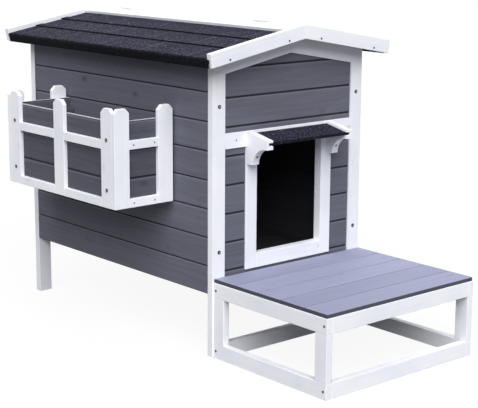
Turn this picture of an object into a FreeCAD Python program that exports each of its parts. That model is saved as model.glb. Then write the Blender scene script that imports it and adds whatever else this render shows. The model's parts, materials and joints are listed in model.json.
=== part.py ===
import FreeCAD, Part
import math
import os
import re
import Sketcher

# A timber cat house on four legs: lapped grey boards in a white frame, a felted gable roof whose
# right slope lifts as a lid, a picket planter on the left wall and a decked porch before the door.
# X runs to the right along the front, Y to the back and Z up. Lengths are in millimetres.

SIZES = {
    # The four posts and the gable frames between them
    "house_width": 496,
    "house_depth": 785,
    "post_width": 38,
    "post_thick": 19,
    "wall_height": 726,
    "roof_pitch": 10.2,
    "rafter_depth": 45,
    "rail_width": 38,
    "mid_rail_height": 508,
    # Lapped wall boards
    "board_pitch": 70,
    "board_thick": 15,
    "board_lap": 7,
    "board_groove": 2,
    "board_gap": 0.3,
    "side_board_start": 156,
    "gable_board_start": 140,
    # Corner battens and the floor
    "batten_width": 40,
    "batten_thick": 20,
    "bearer_width": 20,
    "bearer_depth": 20,
    "floor_thick": 10,
    "floor_board_width": 93,
    # Doorway
    "door_width": 216,
    "door_bottom": 203,
    "jamb_width": 35,
    "jamb_depth": 23,
    "sill_height": 36,
    # Canopy over the doorway
    "bracket_thick": 20,
    "bracket_top": 545,
    "bracket_height": 79,
    "bracket_reach": 73,
    "bracket_fall": 15,
    "bracket_nose": 22,
    "bracket_lip": 7,
    "bracket_radius": 43,
    "slot_cover": 5.2,
    "slot_depth": 13,
    "slot_gap": 0.2,
    "canopy_board_thick": 6,
    "canopy_setback": 7,
    # Roof panels, felt, barge boards and ridge caps
    "eave_overhang": 42,
    "gable_overhang": 41,
    "roof_board": 10.5,
    "felt_thick": 2.5,
    "felt_exposure": 86.2,
    "felt_overlap": 20,
    "felt_joggle": 10,
    "felt_drip": 10,
    "barge_thick": 9,
    "barge_lip_width": 15,
    "barge_lip": 12,
    "barge_drop": 8.8,
    "cap_width": 40,
    "cap_thick": 8,
    # Ridge hinges of the lid
    "hinge_inset": 113,
    "hinge_length": 60,
    "leaf_thick": 1.5,
    "leaf_depth": 21,
    "knuckle_diameter": 6.4,
    "knuckle_gap": 0.3,
    "pin_diameter": 3,
    "pin_clearance": 0.05,
    "hinge_rise": 0.3,
    "seam_gap": 0.3,
    "lid_gap": 0.3,
    # Planter on the left wall
    "planter_start": 144,
    "planter_length": 471,
    "planter_reach": 180,
    "planter_bottom": 366.2,
    "planter_wall_height": 207.3,
    "picket_height": 239.8,
    "picket_width": 44,
    "picket_thick": 11,
    "picket_clip": 11,
    "picket_wall_gap": 6,
    "planter_rail_width": 21.3,
    "planter_rail_rise": 140.5,
    "planter_board_thick": 10,
    "planter_floor_rise": 10,
    "planter_floor_thick": 10,
    "planter_batten": 20,
    "planter_batten_height": 160,
    # Porch
    "porch_depth": 388,
    "porch_shift": 3,
    "porch_timber_thick": 18,
    "porch_rail_width": 37,
    "deck_top": 197.5,
    "deck_thick": 9.5,
    "deck_board_width": 77,
    "deck_groove": 1.5,
    "deck_inset": 2,
    # Bolts
    "bolt_diameter": 6,
    "bolt_head_diameter": 9.5,
    "bolt_head": 2.5,
    "bolt_grip": 15,
    "bolt_clearance": 0.1,
    "bolt_inset": 20,
    "lower_bolt": 260,
    "upper_bolt": 611.5,
    "planter_lower_bolt": 43.3,
    "planter_upper_bolt": 164.3,
}

# Lengths that follow from the sizes. The house's front left foot corner is at (left_face, front_face, 0),
# which puts the part's origin under the middle of its whole box.
PLACES = {
    "pitch_sin": "sin(roof_pitch)",
    "pitch_cos": "cos(roof_pitch)",
    "pitch_tan": "tan(roof_pitch)",
    "half_width": "house_width / 2",
    "ridge_under": "wall_height + half_width * pitch_tan",
    "rafter_low": "ridge_under - rafter_depth / pitch_cos",
    "rafter_foot": "wall_height + post_width * pitch_tan - rafter_depth / pitch_cos",
    "slope_length": "(half_width + eave_overhang) / pitch_cos",
    "felt_top": "roof_board + felt_thick",
    "barge_top": "felt_top + barge_lip",
    "barge_length": "slope_length + felt_thick",
    "lip_overlap": "barge_lip_width - barge_thick",
    "ridge_edge": "seam_gap / 2 + leaf_thick",
    "hinge_height": "ridge_under + barge_top / pitch_cos + hinge_rise",
    "roof_reach": "barge_length * pitch_cos + barge_top * pitch_sin",
    "left_face": "(planter_reach + bolt_head - half_width - roof_reach) / 2",
    "front_face": "(porch_depth - house_depth - gable_overhang - barge_thick) / 2",
    "board_recess": "post_thick - board_thick",
    "floor_top": "side_board_start + bearer_depth + floor_thick",
    "wall_top": "wall_height - lid_gap",
    "door_left": "half_width - door_width / 2 - jamb_width",
    "door_right": "half_width + door_width / 2 + jamb_width",
    "porch_width": "house_width",
    "deck_under": "deck_top - deck_thick",
    "deck_depth": "porch_depth - deck_inset",
    "canopy_slope": "bracket_fall / bracket_reach",
    "slot_height": "canopy_board_thick + felt_thick + slot_gap",
    "nose_under": "bracket_top - bracket_fall - bracket_nose",
    "planter_end": "planter_start + planter_length",
    "planter_wall": "picket_thick + planter_board_thick",
    "knuckle_radius": "knuckle_diameter / 2",
    "leaf_top": "hinge_height - knuckle_radius - knuckle_gap",
}

WORD = re.compile(r"[a-z][a-z0-9_]*")

doc = FreeCAD.newDocument("cat_house")
sheet = doc.addObject("Spreadsheet::Sheet", "Sizes")
places = doc.addObject("App::VarSet", "Places")
nodes = []


def linked(formula):
    """The formula with each named size and place tied to the object that holds it."""

    def owner(match):
        word = match.group()
        if word in SIZES:
            return f"Sizes.{word}"
        if word in PLACES:
            return f"Places.{word}"
        return word

    return WORD.sub(owner, str(formula))


def bind(thing, name, formula):
    thing.setExpression(name, linked(formula))


def place(thing, corner):
    """Put a piece at a corner counted from the house's front left foot."""
    across, back, up = corner
    bind(thing, "Placement.Base.x", f"left_face + {across}")
    bind(thing, "Placement.Base.y", f"front_face + {back}")
    bind(thing, "Placement.Base.z", up)


def bar(name, corner, lengths):
    """A plain rectangular length of timber."""
    box = doc.addObject("Part::Box", name)
    for side, length in zip(("Length", "Width", "Height"), lengths):
        bind(box, side, length)
    place(box, corner)
    return box


def outline(body, plane, points, part="whole"):
    """A closed sketch through the points, each held by its two distances from the origin."""
    sketch = body.newObject("Sketcher::SketchObject", f"{body.Name}_{part}")
    support = [feature for feature in body.Origin.OriginFeatures if feature.Role == plane]
    sketch.AttachmentSupport = (support[0], [""])
    sketch.MapMode = "FlatFace"
    count = len(points)
    turn = 2 * math.pi / count
    start = [FreeCAD.Vector(math.cos(turn * i), math.sin(turn * i), 0) * count for i in range(count)]
    for i in range(count):
        sketch.addGeometry(Part.LineSegment(start[i], start[(i + 1) % count]), False)
    for i in range(count):
        sketch.addConstraint(Sketcher.Constraint("Coincident", i, 2, (i + 1) % count, 1))
    for i, point in enumerate(points):
        hold_point(sketch, i, point)
    return sketch


def hold_point(sketch, edge, point):
    for kind, formula in zip(("DistanceX", "DistanceY"), point):
        index = sketch.addConstraint(Sketcher.Constraint(kind, -1, 1, edge, 1, 1.0))
        bind(sketch, f"Constraints[{index}]", formula)


def pad(body, sketch, depth, towards_back):
    feature = body.newObject("PartDesign::Pad", f"{sketch.Name}_pad")
    feature.Profile = sketch
    feature.Reversed = towards_back
    bind(feature, "Length", depth)
    body.Tip = feature
    return feature


def prism(name, plane, points, start, depth):
    """A piece sawn to one outline: XZ outlines run on towards the back, YZ outlines to the right."""
    body = doc.addObject("PartDesign::Body", name)
    pad(body, outline(body, plane, points), depth, plane == "XZ_Plane")
    place(body, ("0", start, "0") if plane == "XZ_Plane" else (start, "0", "0"))
    return body


def cut(name, base, tools):
    """A piece with other shapes taken out of it."""
    tool = tools[0]
    if len(tools) > 1:
        tool = doc.addObject("Part::Compound", f"{name}_tools")
        tool.Links = tools
    result = doc.addObject("Part::Cut", name)
    result.Base = base
    result.Tool = tool
    return result


def joined(name, pieces):
    result = doc.addObject("Part::MultiFuse", name)
    result.Shapes = pieces
    return result


# Turns that point a cylinder along an axis, and the sign of that axis
HEADINGS = {
    "right": FreeCAD.Rotation(FreeCAD.Vector(0, 1, 0), 90),
    "left": FreeCAD.Rotation(FreeCAD.Vector(0, 1, 0), -90),
    "back": FreeCAD.Rotation(FreeCAD.Vector(1, 0, 0), -90),
    "front": FreeCAD.Rotation(FreeCAD.Vector(1, 0, 0), 90),
}
OPPOSITE = {"right": "left", "left": "right", "back": "front", "front": "back"}


def rod(name, corner, heading, radius, length):
    cylinder = doc.addObject("Part::Cylinder", name)
    cylinder.Placement = FreeCAD.Placement(FreeCAD.Vector(), HEADINGS[heading])
    bind(cylinder, "Radius", radius)
    bind(cylinder, "Height", length)
    place(cylinder, corner)
    return cylinder


def bolt(name, corner, heading, length):
    """A bolt whose head stands on the surface at the corner and whose shank runs along the heading."""
    head = doc.addObject("Part::Cone", f"{name}_head")
    head.Placement = FreeCAD.Placement(FreeCAD.Vector(), HEADINGS[OPPOSITE[heading]])
    bind(head, "Radius1", "bolt_head_diameter / 2")
    bind(head, "Radius2", "bolt_head_diameter / 3")
    bind(head, "Height", "bolt_head")
    place(head, corner)
    shank = rod(f"{name}_shank", corner, heading, "bolt_diameter / 2", length)
    return joined(name, [head, shank])


def bolt_hole(name, corner, heading, length):
    return rod(name, corner, heading, "bolt_diameter / 2 + bolt_clearance", f"{length} + bolt_clearance")


def node(name, pieces):
    """Name a sub-part: one piece, or a group of separate pieces of one kind."""
    if len(pieces) == 1:
        result = pieces[0]
    else:
        result = doc.addObject("Part::Compound", name)
        result.Links = pieces
    result.Label = name
    nodes.append(result)


def board_rows(start, top, count):
    """Lower and upper edge of each board from the bottom up; the top board is sawn to what is left."""
    edges = [f"{start} + {row} * board_pitch" for row in range(count)]
    return list(zip(edges, edges[1:] + [top]))


def lapped_board(name, plane, face, inward, thick, row, laps, start, length):
    """A board with eased edges whose back half laps behind the board above it."""
    low, high = row
    laps_below, laps_above = laps

    def at(depth, height):
        return (f"{face} + {inward} * ({depth})", height)

    groove = "board_groove"
    points = [at(groove, low)]
    if laps_below:
        points.append(at(f"{thick} / 2", low))
        points.append(at(f"{thick} / 2", f"{low} + board_lap + board_gap"))
        points.append(at(thick, f"{low} + board_lap + board_gap"))
    else:
        points.append(at(thick, low))
    if laps_above:
        points.append(at(thick, f"{high} + board_lap"))
        points.append(at(f"{thick} / 2 + board_gap", f"{high} + board_lap"))
        points.append(at(f"{thick} / 2 + board_gap", high))
    else:
        points.append(at(thick, high))
    points.append(at(groove, high))
    points.append(at("0", f"{high} - {groove}"))
    points.append(at("0", f"{low} + {groove}"))
    return prism(name, plane, points, start, length)


def lapped_wall(name, plane, face, inward, thick, rows, start, length):
    boards = []
    for index, row in enumerate(rows):
        laps = (index > 0, index < len(rows) - 1)
        boards.append(lapped_board(f"{name}_{index}", plane, face, inward, thick, row, laps, start, length))
    return boards


for line, (name, value) in enumerate(SIZES.items(), start=1):
    sheet.set(f"A{line}", name)
    sheet.set(f"B{line}", str(value))
    sheet.setAlias(f"B{line}", name)
for name in PLACES:
    places.addProperty("App::PropertyFloat", name, "Places")
doc.recompute()
for name, formula in PLACES.items():
    bind(places, name, formula)
doc.recompute()

# Posts: flat timbers whose tops follow the roof. The right pair stop short of the lid by its gap.
post_tops = {"left": "wall_height", "right": "wall_top"}
bolt_heights = ("lower_bolt", "upper_bolt")
gable_faces = {"front": ("0", "back"), "back": ("house_depth", "front")}
post_bolts = []
batten_cutters = {}
for end, (face, heading) in gable_faces.items():
    for side, top in post_tops.items():
        left = side == "left"
        near = "0" if left else "house_width"
        far = "post_width" if left else "house_width - post_width"
        points = [(near, "0"), (far, "0"), (far, f"{top} + post_width * pitch_tan"), (near, top)]
        blank_start = "0" if end == "front" else "house_depth - post_thick"
        blank = prism(f"{end}_{side}_post_blank", "XZ_Plane", points, blank_start, "post_thick")
        across = "bolt_inset" if left else "house_width - bolt_inset"
        holes = []
        for level, height in enumerate(bolt_heights):
            tag = f"{end}_{side}_{level}"
            corner = (across, face, height)
            post_bolts.append(bolt(f"post_bolt_{tag}", corner, heading, "post_thick + bolt_grip"))
            holes.append(bolt_hole(f"post_hole_{tag}", corner, heading, "post_thick + bolt_grip"))
        node(f"{end}_{side}_post", [cut(f"{end}_{side}_post_drilled", blank, holes)])
        batten_cutters[end, side] = holes
node("post_bolts", post_bolts)

# Rafters: the top edge carries the roof, the foot butts on the post and the head meets its twin.
for end in gable_faces:
    start = "0" if end == "front" else "house_depth - post_thick"
    for side, gap in (("left", "0"), ("right", "lid_gap")):
        outer = "post_width" if side == "left" else "house_width - post_width"
        points = [
            (outer, "rafter_foot"),
            ("half_width", "rafter_low"),
            ("half_width", f"ridge_under - {gap}"),
            (outer, f"wall_height + post_width * pitch_tan - {gap}"),
        ]
        name = f"{end}_{side}_rafter"
        node(name, [prism(name, "XZ_Plane", points, start, "post_thick")])

# Rails: flat strips nailed over the gable boards, flush with the posts.
rail_faces = {"front": "0", "back": "house_depth - board_recess"}
rail_levels = {"mid": "mid_rail_height", "bottom": "gable_board_start"}
for end, face in rail_faces.items():
    for level, height in rail_levels.items():
        lengths = ("house_width - 2 * post_width", "board_recess", "rail_width")
        node(f"{end}_{level}_rail", [bar(f"{end}_{level}_rail", ("post_width", face, height), lengths)])

# Side walls: boards flush with the posts, between the front and back posts.
side_count = max(1, int((places.wall_top - sheet.side_board_start) / sheet.board_pitch))
side_rows = board_rows("side_board_start", "wall_top", side_count)
for side, face, inward in (("left", "0", "1"), ("right", "house_width", "-1")):
    name = f"{side}_wall_boards"
    run = ("post_thick", "house_depth - 2 * post_thick")
    node(name, lapped_wall(name, "XZ_Plane", face, inward, "board_thick", side_rows, *run))

# Gable walls: boards between the posts, set back behind the rails and sawn along the rafters.
field_points = [
    ("post_width", "gable_board_start"),
    ("house_width - post_width", "gable_board_start"),
    ("house_width - post_width", "rafter_foot"),
    ("half_width", "rafter_low"),
    ("post_width", "rafter_foot"),
]
gable_count = math.ceil((places.rafter_low - sheet.gable_board_start) / sheet.board_pitch)
gable_rows = board_rows("gable_board_start", "rafter_low", gable_count)
gable_edges = [sheet.gable_board_start + row * sheet.board_pitch for row in range(gable_count)]
gable_edges.append(places.rafter_low)


def sawn_to_gable(board, field, upper_edge):
    """The board as it is, or sawn along the rafters where it reaches above their feet."""
    if upper_edge + sheet.board_lap <= places.rafter_foot:
        return board
    result = doc.addObject("Part::Common", f"{board.Name}_sawn")
    result.Base = board
    result.Tool = field
    return result


def gable_run(name, face, inward, index, start, length):
    laps = (index > 0, index < gable_count - 1)
    row = gable_rows[index]
    return lapped_board(name, "YZ_Plane", face, inward, "board_thick", row, laps, start, length)


whole_run = ("post_width", "house_width - 2 * post_width")
back_field = prism("back_field", "XZ_Plane", field_points, "house_depth - post_thick", "post_thick")
back_boards = []
for index in range(gable_count):
    board = gable_run(f"back_board_{index}", "house_depth - board_recess", "-1", index, *whole_run)
    back_boards.append(sawn_to_gable(board, back_field, gable_edges[index + 1]))
node("back_wall_boards", back_boards)

front_field = prism("front_field", "XZ_Plane", field_points, "0", "post_thick")
doorway_lengths = ("door_right - door_left", "post_thick", "mid_rail_height - door_bottom")
doorway = bar("doorway", ("door_left", "0", "door_bottom"), doorway_lengths)
side_length = "door_left - post_width"
front_boards = {"front_lower_boards": [], "front_head_board": [], "front_gable_boards": []}
for index in range(gable_count):
    low = gable_edges[index]
    high = gable_edges[index + 1]
    reach = high + sheet.board_lap
    if high <= sheet.mid_rail_height:
        group = front_boards["front_lower_boards"]
    elif not front_boards["front_head_board"]:
        group = front_boards["front_head_board"]
    else:
        group = front_boards["front_gable_boards"]
    if low >= sheet.door_bottom and reach <= sheet.mid_rail_height:
        for side, start in (("left", "post_width"), ("right", "door_right")):
            name = f"front_board_{index}_{side}"
            group.append(gable_run(name, "board_recess", "1", index, start, side_length))
        continue
    board = gable_run(f"front_board_{index}", "board_recess", "1", index, *whole_run)
    if reach > sheet.door_bottom and low < sheet.mid_rail_height:
        board = cut(f"front_board_{index}_cut", board, [doorway])
    group.append(sawn_to_gable(board, front_field, high))
for name, boards in front_boards.items():
    node(name, boards)

# Corner battens: inside each post, standing on the floor, with the boards of both walls nailed to them.
battens = []
for (end, side), holes in batten_cutters.items():
    across = "board_thick" if side == "left" else "house_width - board_thick - batten_width"
    back = "post_thick" if end == "front" else "house_depth - post_thick - batten_thick"
    name = f"{end}_{side}_batten"
    lengths = ("batten_width", "batten_thick", "wall_top - floor_top")
    blank = bar(f"{name}_blank", (across, back, "floor_top"), lengths)
    battens.append(cut(name, blank, holes))
node("corner_battens", battens)

# Floor: boards across the house on three bearers between the gable walls.
inner_depth = "house_depth - 2 * post_thick"
bearer_places = ("board_thick", "half_width - bearer_width / 2", "house_width - board_thick - bearer_width")
bearers = []
for index, across in enumerate(bearer_places):
    corner = (across, "post_thick", "side_board_start")
    bearers.append(bar(f"floor_bearer_{index}", corner, ("bearer_width", inner_depth, "bearer_depth")))
node("floor_bearers", bearers)

floor_count = max(1, round((sheet.house_depth - 2 * sheet.post_thick) / sheet.floor_board_width))
floor_width = f"({inner_depth}) / {floor_count}"
floor_boards = []
for index in range(floor_count):
    corner = ("board_thick", f"post_thick + {index} * {floor_width}", "side_board_start + bearer_depth")
    lengths = ("house_width - 2 * board_thick", floor_width, "floor_thick")
    floor_boards.append(bar(f"floor_board_{index}", corner, lengths))
node("floor_boards", floor_boards)

# Door frame: two jambs under the mid rail and a sill between them, flush with the posts.
jamb_lengths = ("jamb_width", "jamb_depth", "mid_rail_height - door_bottom")
for side, across in (("left", "door_left"), ("right", "door_right - jamb_width")):
    node(f"door_{side}_jamb", [bar(f"door_{side}_jamb", (across, "0", "door_bottom"), jamb_lengths)])
sill_corner = ("door_left + jamb_width", "0", "door_bottom")
node("door_sill", [bar("door_sill", sill_corner, ("door_width", "jamb_depth", "sill_height"))])

# Canopy brackets: a falling top edge, a nose and a round hollow under it, grooved inside from end
# to end for the felted board.
slot_line = "bracket_top - slot_cover - slot_height"
bracket_points = [
    ("0", "bracket_top"),
    ("0", "bracket_top - bracket_height"),
    ("bracket_lip - bracket_reach", "bracket_top - bracket_height"),
    ("bracket_lip - bracket_reach", "nose_under"),
    ("-1 * bracket_reach", "nose_under"),
    ("-1 * bracket_reach", "bracket_top - bracket_fall"),
]
slot_back = f"{slot_line} + canopy_slope * slot_gap"
slot_front = f"{slot_line} - bracket_fall - canopy_slope * slot_gap"
slot_points = [
    ("slot_gap", slot_back),
    ("slot_gap", f"{slot_back} + slot_height"),
    ("-1 * bracket_reach - slot_gap", f"{slot_front} + slot_height"),
    ("-1 * bracket_reach - slot_gap", slot_front),
]
bracket_sides = {
    "left": ("door_left", "door_left + bracket_thick - slot_depth"),
    "right": ("door_right - bracket_thick", "door_right - bracket_thick"),
}
for side, (across, slot_across) in bracket_sides.items():
    name = f"canopy_{side}_bracket"
    blank = prism(f"{name}_blank", "YZ_Plane", bracket_points, across, "bracket_thick")
    hollow_corner = (across, "bracket_lip - bracket_reach", "nose_under - bracket_radius")
    hollow = rod(f"{name}_hollow", hollow_corner, "right", "bracket_radius", "bracket_thick")
    slot = prism(f"{name}_slot", "YZ_Plane", slot_points, slot_across, "slot_depth")
    node(name, [cut(f"{name}_cut", blank, [hollow, slot])])

# Canopy: a thin board with felt on it that turns down in front, slid together into the grooves.
canopy_front = "canopy_setback - bracket_reach"
canopy_fall = "canopy_slope * (bracket_reach - canopy_setback)"
canopy_points = [
    ("0", slot_line),
    ("0", f"{slot_line} + canopy_board_thick"),
    (canopy_front, f"{slot_line} + canopy_board_thick - {canopy_fall}"),
    (canopy_front, f"{slot_line} - {canopy_fall}"),
]
canopy_start = "door_left + bracket_thick - slot_depth + slot_gap"
canopy_length = "door_right - door_left - 2 * (bracket_thick - slot_depth + slot_gap)"
node("canopy_board", [prism("canopy_board", "YZ_Plane", canopy_points, canopy_start, canopy_length)])

felt_front = f"{canopy_front} - felt_thick"
felt_fall = "canopy_slope * (bracket_reach - canopy_setback + felt_thick)"
felt_points = [
    ("0", f"{slot_line} + canopy_board_thick"),
    ("0", f"{slot_line} + canopy_board_thick + felt_thick"),
    (felt_front, f"{slot_line} + canopy_board_thick + felt_thick - {felt_fall}"),
    (felt_front, f"{slot_line} - {canopy_fall}"),
    (canopy_front, f"{slot_line} - {canopy_fall}"),
    (canopy_front, f"{slot_line} + canopy_board_thick - {canopy_fall}"),
]
node("canopy_felt", [prism("canopy_felt", "YZ_Plane", felt_points, canopy_start, canopy_length)])


# Roof: outlines are given down the slope from the ridge and square up from the panel's underside.
def slope_point(hand, down, up):
    across = f"half_width + {hand} * (({down}) * pitch_cos + ({up}) * pitch_sin)"
    return (across, f"ridge_under - ({down}) * pitch_sin + ({up}) * pitch_cos")


def ridge_point(hand, gap, up):
    """A point on the plumb cut beside the ridge, a gap away from the centre plane."""
    return (f"half_width + {hand} * ({gap})", f"ridge_under - ({gap}) * pitch_tan + ({up}) / pitch_cos")


def felt_course(hand, course, last):
    """One strip of felt. The first turns down over the eave, the others lap over the one below."""
    low = f"slope_length - {course} * felt_exposure"
    joint = f"{low} - felt_overlap"
    if course == 0:
        points = [
            slope_point(hand, "slope_length", "-1 * felt_drip"),
            slope_point(hand, "slope_length + felt_thick", "-1 * felt_drip"),
            slope_point(hand, "slope_length + felt_thick", "felt_top"),
        ]
    else:
        points = [
            slope_point(hand, joint, "felt_top"),
            slope_point(hand, low, "felt_top"),
            slope_point(hand, low, "felt_top + felt_thick"),
            slope_point(hand, joint, "felt_top + felt_thick"),
            slope_point(hand, f"{joint} - felt_joggle", "felt_top"),
        ]
    if last:
        points.append(ridge_point(hand, "ridge_edge", "felt_top"))
        points.append(ridge_point(hand, "ridge_edge", "roof_board"))
    else:
        points.append(slope_point(hand, f"{joint} - felt_exposure", "felt_top"))
        points.append(slope_point(hand, f"{joint} - felt_exposure", "roof_board"))
    points.append(slope_point(hand, "slope_length" if course == 0 else joint, "roof_board"))
    return points


def barge_board(name, hand, end):
    """A plate over the panel's end with a wider lip on top that covers the panel's edge."""
    body = doc.addObject("PartDesign::Body", name)
    profiles = {"plate": ("-1 * barge_drop", "barge_thick"), "lip": ("roof_board", "barge_lip_width")}
    for part, (foot, depth) in profiles.items():
        points = [
            ridge_point(hand, "seam_gap / 2", "barge_top"),
            slope_point(hand, "barge_length", "barge_top"),
            slope_point(hand, "barge_length", foot),
            ridge_point(hand, "seam_gap / 2", foot),
        ]
        pad(body, outline(body, "XZ_Plane", points, part), depth, end == "front")
    overhang = "gable_overhang + barge_thick"
    place(body, ("0", f"-1 * ({overhang})" if end == "front" else f"house_depth + {overhang}", "0"))
    return body


course_room = places.slope_length - sheet.cap_width - sheet.felt_overlap - sheet.felt_joggle
course_count = 1 + max(0, int(course_room / sheet.felt_exposure))
panel_run = ("-1 * gable_overhang", "house_depth + 2 * gable_overhang")
lip_run = ("lip_overlap - gable_overhang", "house_depth + 2 * gable_overhang - 2 * lip_overlap")
for side, hand in (("left", "-1"), ("right", "1")):
    panel_points = [
        ridge_point(hand, "ridge_edge", "0"),
        ridge_point(hand, "ridge_edge", "roof_board"),
        slope_point(hand, "slope_length", "roof_board"),
        slope_point(hand, "slope_length", "0"),
    ]
    node(f"{side}_roof_board", [prism(f"{side}_roof_board", "XZ_Plane", panel_points, *panel_run)])
    courses = []
    for course in range(course_count):
        points = felt_course(hand, course, course == course_count - 1)
        courses.append(prism(f"{side}_felt_{course}", "XZ_Plane", points, *lip_run))
    node(f"{side}_roof_felt", courses)
    cap_points = [
        ridge_point(hand, "ridge_edge", "felt_top"),
        ridge_point(hand, "ridge_edge", "felt_top + cap_thick"),
        slope_point(hand, "cap_width", "felt_top + cap_thick"),
        slope_point(hand, "cap_width", "felt_top"),
    ]
    node(f"{side}_ridge_cap", [prism(f"{side}_ridge_cap", "XZ_Plane", cap_points, *lip_run)])
    for end in ("front", "back"):
        node(f"{side}_{end}_barge", [barge_board(f"{side}_{end}_barge", hand, end)])

# Ridge hinges: thin leaves let in between the two slopes, with the barrel just above the ridge.
KNUCKLES = 3
knuckle_pitch = f"hinge_length / {KNUCKLES}"
hinge_centres = ("hinge_inset", "house_depth - hinge_inset")
leaf_places = {"fixed": "half_width - ridge_edge", "lid": "half_width + seam_gap / 2"}
for kind, across in leaf_places.items():
    leaves = []
    for index, centre in enumerate(hinge_centres):
        tag = f"{kind}_leaf_{index}"
        start = f"{centre} - hinge_length / 2"
        corner = (across, start, "leaf_top - leaf_depth")
        pieces = [bar(f"{tag}_plate", corner, ("leaf_thick", "hinge_length", "leaf_depth"))]
        for knuckle in range(0 if kind == "fixed" else 1, KNUCKLES, 2):
            begin = f"{start} + {knuckle} * {knuckle_pitch} + knuckle_gap / 2"
            length = f"{knuckle_pitch} - knuckle_gap"
            tab_lengths = ("leaf_thick", length, "knuckle_radius + knuckle_gap")
            pieces.append(bar(f"{tag}_tab_{knuckle}", (across, begin, "leaf_top"), tab_lengths))
            barrel_corner = ("half_width", begin, "hinge_height")
            pieces.append(rod(f"{tag}_barrel_{knuckle}", barrel_corner, "back", "knuckle_radius", length))
        bore_corner = ("half_width", start, "hinge_height")
        bore = rod(f"{tag}_bore", bore_corner, "back", "pin_diameter / 2 + pin_clearance", "hinge_length")
        leaves.append(cut(tag, joined(f"{tag}_blank", pieces), [bore]))
    node(f"hinge_{kind}_leaves", leaves)
pins = []
for index, centre in enumerate(hinge_centres):
    corner = ("half_width", f"{centre} - hinge_length / 2", "hinge_height")
    pins.append(rod(f"hinge_pin_{index}", corner, "back", "pin_diameter / 2", "hinge_length"))
node("hinge_pins", pins)

# Planter pickets: flat strips with clipped corners. The end pickets cover the planter's corners.
picket_top = "planter_bottom + picket_height"


def picket_points(start):
    return [
        (start, "planter_bottom"),
        (f"{start} + picket_width", "planter_bottom"),
        (f"{start} + picket_width", f"{picket_top} - picket_clip"),
        (f"{start} + picket_width - picket_clip", picket_top),
        (f"{start} + picket_clip", picket_top),
        (start, f"{picket_top} - picket_clip"),
    ]


# Planter bolts: through the outer pickets into the lowest and highest of the long boards.
planter_bolts = []
planter_holes = {"near": [], "far": []}
bolt_middle = "(picket_thick + picket_width / 2)"
bolt_rows = {"near": f"planter_start + {bolt_middle}", "far": f"planter_end - {bolt_middle}"}
for end, back in bolt_rows.items():
    for level, rise in enumerate(("planter_lower_bolt", "planter_upper_bolt")):
        corner = ("-1 * planter_reach", back, f"planter_bottom + {rise}")
        length = "picket_thick + 0.8 * planter_board_thick"
        planter_bolts.append(bolt(f"planter_bolt_{end}_{level}", corner, "right", length))
        planter_holes[end].append(bolt_hole(f"planter_hole_{end}_{level}", corner, "right", length))
node("planter_bolts", planter_bolts)

picket_starts = {
    "near": "planter_start + picket_thick",
    "middle": "planter_start + planter_length / 2 - picket_width / 2",
    "far": "planter_end - picket_thick - picket_width",
}
front_pickets = []
for spot, start in picket_starts.items():
    name = f"planter_picket_{spot}"
    picket = prism(name, "YZ_Plane", picket_points(start), "-1 * planter_reach", "picket_thick")
    if spot in planter_holes:
        picket = cut(f"{name}_drilled", picket, planter_holes[spot])
    front_pickets.append(picket)
node("planter_front_pickets", front_pickets)

end_planes = {"near": "planter_start", "far": "planter_end - picket_thick"}
end_pickets = []
for end, back in end_planes.items():
    for spot, start in (("outer", "-1 * planter_reach"), ("inner", "-1 * picket_wall_gap - picket_width")):
        name = f"planter_picket_{end}_{spot}"
        end_pickets.append(prism(name, "XZ_Plane", picket_points(start), back, "picket_thick"))
node("planter_end_pickets", end_pickets)

# Planter rails: short lengths between the pickets and flush with them, on the boards' faces.
front_rails = []
end_rails = []
bay_length = "(planter_length - 2 * picket_thick - 3 * picket_width) / 2"
end_bay = "planter_reach - picket_wall_gap - 2 * picket_width"
for level, rise in (("bottom", "0"), ("mid", "planter_rail_rise")):
    height = f"planter_bottom + {rise}"
    for spot in ("near", "middle"):
        corner = ("-1 * planter_reach", f"{picket_starts[spot]} + picket_width", height)
        lengths = ("picket_thick", bay_length, "planter_rail_width")
        front_rails.append(bar(f"planter_{spot}_{level}_front_rail", corner, lengths))
    for end, back in end_planes.items():
        corner = ("picket_width - planter_reach", back, height)
        lengths = (end_bay, "picket_thick", "planter_rail_width")
        end_rails.append(bar(f"planter_{end}_{level}_end_rail", corner, lengths))
node("planter_front_rails", front_rails)
node("planter_end_rails", end_rails)

# Planter boards: the same lapped boards, thinner, behind the pickets and rails.
planter_count = max(1, round(sheet.planter_wall_height / sheet.board_pitch))
planter_rows = board_rows("planter_bottom", "planter_bottom + planter_wall_height", planter_count)
long_face = "picket_thick - planter_reach"
long_run = ("planter_start + picket_thick", "planter_length - 2 * picket_thick")
long_boards = lapped_wall(
    "planter_long_board", "XZ_Plane", long_face, "1", "planter_board_thick", planter_rows, *long_run
)
lower_holes, upper_holes = zip(planter_holes["near"], planter_holes["far"])
long_boards[0] = cut("planter_lowest_board", long_boards[0], list(lower_holes))
long_boards[-1] = cut("planter_highest_board", long_boards[-1], list(upper_holes))
node("planter_front_boards", long_boards)
end_boards = []
end_faces = {
    "near": ("planter_start + picket_thick", "1"),
    "far": ("planter_end - picket_thick", "-1"),
}
end_run = ("planter_wall - planter_reach", "planter_reach - planter_wall")
for end, (face, inward) in end_faces.items():
    name = f"planter_{end}_board"
    end_boards += lapped_wall(
        name, "YZ_Plane", face, inward, "planter_board_thick", planter_rows, *end_run
    )
node("planter_end_boards", end_boards)

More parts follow.
